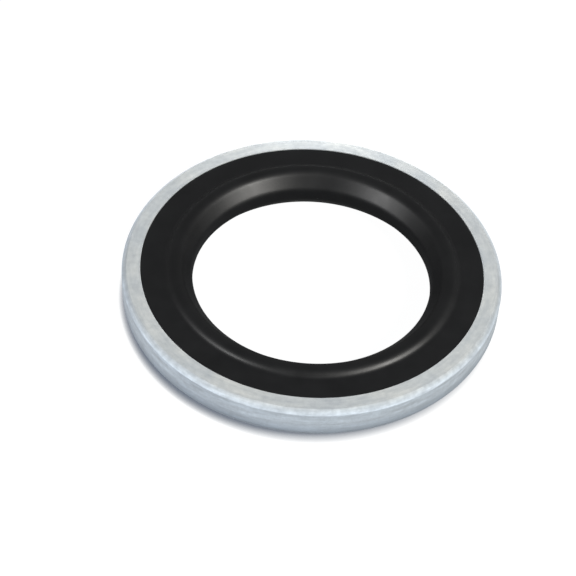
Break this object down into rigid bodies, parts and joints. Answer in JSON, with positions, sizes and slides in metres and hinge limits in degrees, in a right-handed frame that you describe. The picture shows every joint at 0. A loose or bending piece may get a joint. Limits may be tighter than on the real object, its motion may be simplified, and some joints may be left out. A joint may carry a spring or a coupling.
{
  "type": "banjo washer",
  "caption": "Bonded sealing washer for a banjo bolt: a flat zinc-plated steel ring with a rounded black rubber ring moulded into its bore.",
  "frame": {"origin": "on the axis of the bolt hole, at the plane the washer lies on: the lowest circle of the rubber", "axes": "+Z along the bolt hole, out of the upper face; X and Y lie in the washer's plane"},
  "size_m": [0.02, 0.02, 0.0024],
  "materials": {
    "zinc_plated_steel": "satin bright zinc plate",
    "black_rubber": "smooth moulded, semi-gloss"
  },
  "bodies": {
    "root": {"steel_ring": "zinc_plated_steel", "rubber_seal": "black_rubber"}
  },
  "joints": []
}
